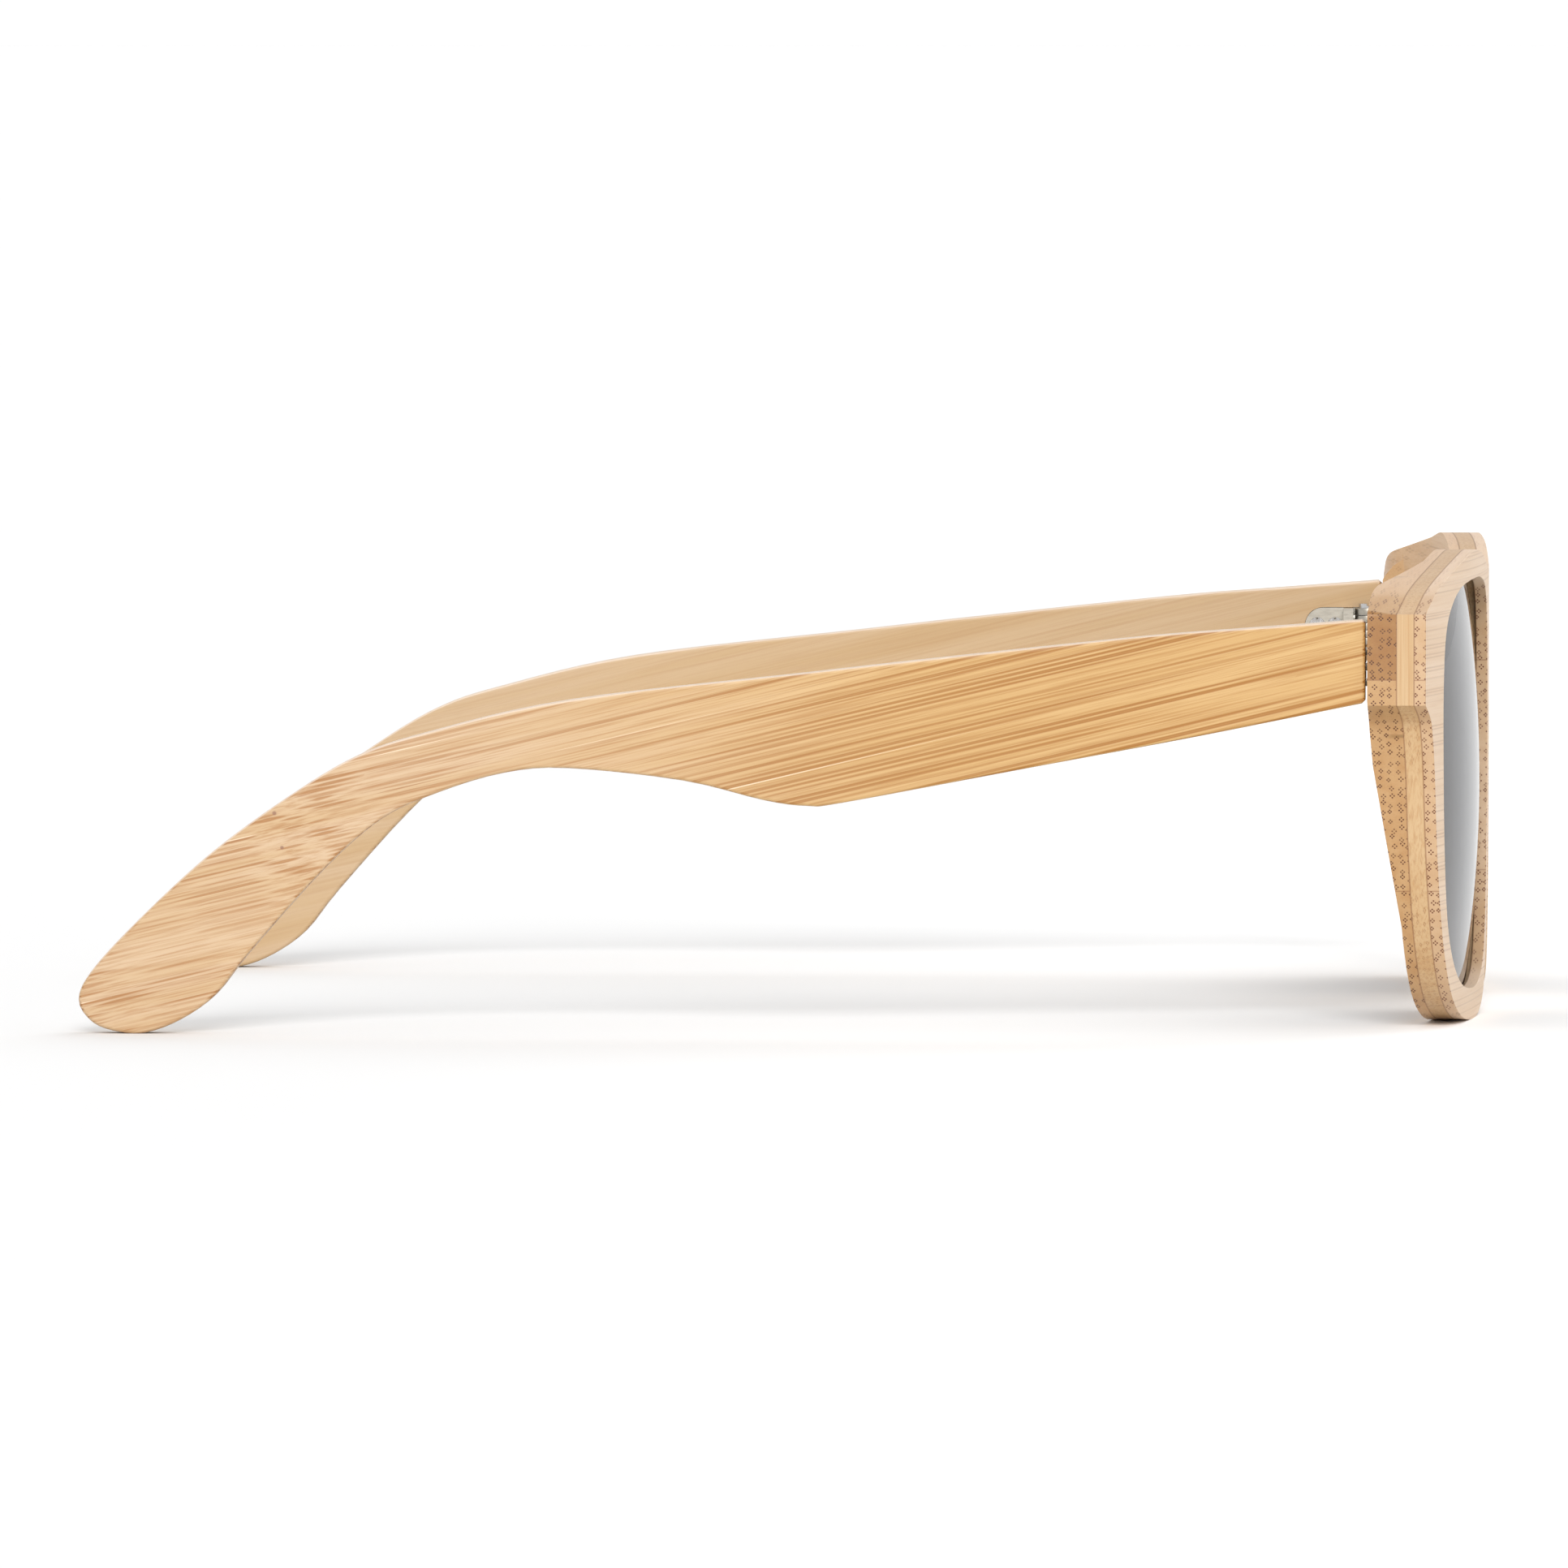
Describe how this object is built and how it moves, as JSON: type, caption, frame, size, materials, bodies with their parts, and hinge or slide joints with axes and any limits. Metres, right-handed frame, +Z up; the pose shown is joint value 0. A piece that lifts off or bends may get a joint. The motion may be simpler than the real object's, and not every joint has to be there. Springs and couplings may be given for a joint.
{
  "type": "wooden sunglasses",
  "caption": "Bamboo sunglasses: a curved three-ply front with smoke-grey lenses in a groove, and flat wooden temples that fold on screw hinges.",
  "frame": {"origin": "middle of the footprint, on the surface that the rims' undersides and the temple tips rest on", "axes": "+Z up; the front faces -Y and the temples run back to +Y; +X is the wearer's left"},
  "size_m": [0.145, 0.1468, 0.0497],
  "materials": {
    "bamboo_front": "fine sanded bamboo, grain across the face, thin oil",
    "bamboo_core": "fine sanded bamboo, grain upright",
    "bamboo_back": "fine sanded bamboo, grain across, dotted end grain at the sides",
    "bamboo_pad": "fine sanded bamboo",
    "bamboo_temple": "fine sanded bamboo with slanting brown fibres",
    "lens_smoke": "smoke-grey, polished, clear",
    "hinge_steel": "satin",
    "screw_steel": "turned, bright"
  },
  "bodies": {
    "front": {"front_ply": "bamboo_front", "core_ply": "bamboo_core", "back_ply": "bamboo_back", "nose_pad_right": "bamboo_pad", "nose_pad_left": "bamboo_pad", "lens_right": "lens_smoke", "lens_left": "lens_smoke", "front_leaf_right": "hinge_steel", "front_leaf_left": "hinge_steel", "pivot_screw_right": "screw_steel", "pivot_screw_left": "screw_steel", "front_screw_upper_right": "screw_steel", "front_screw_lower_right": "screw_steel", "front_screw_upper_left": "screw_steel", "front_screw_lower_left": "screw_steel"},
    "right_temple": {"temple_right": "bamboo_temple", "temple_leaf_right": "hinge_steel", "temple_screw_fore_right": "screw_steel", "temple_screw_aft_right": "screw_steel"},
    "left_temple": {"temple_left": "bamboo_temple", "temple_leaf_left": "hinge_steel", "temple_screw_fore_left": "screw_steel", "temple_screw_aft_left": "screw_steel"}
  },
  "joints": [
    {"name": "right_temple_fold", "type": "hinge", "parent": "front", "child": "right_temple", "pos_m": [-0.06635, -0.0596, 0.0384], "axis": [0, 0, -1], "range_deg": [0, 88]},
    {"name": "left_temple_fold", "type": "hinge", "parent": "front", "child": "left_temple", "pos_m": [0.06635, -0.0596, 0.0384], "axis": [0, 0, 1], "range_deg": [0, 92]}
  ]
}
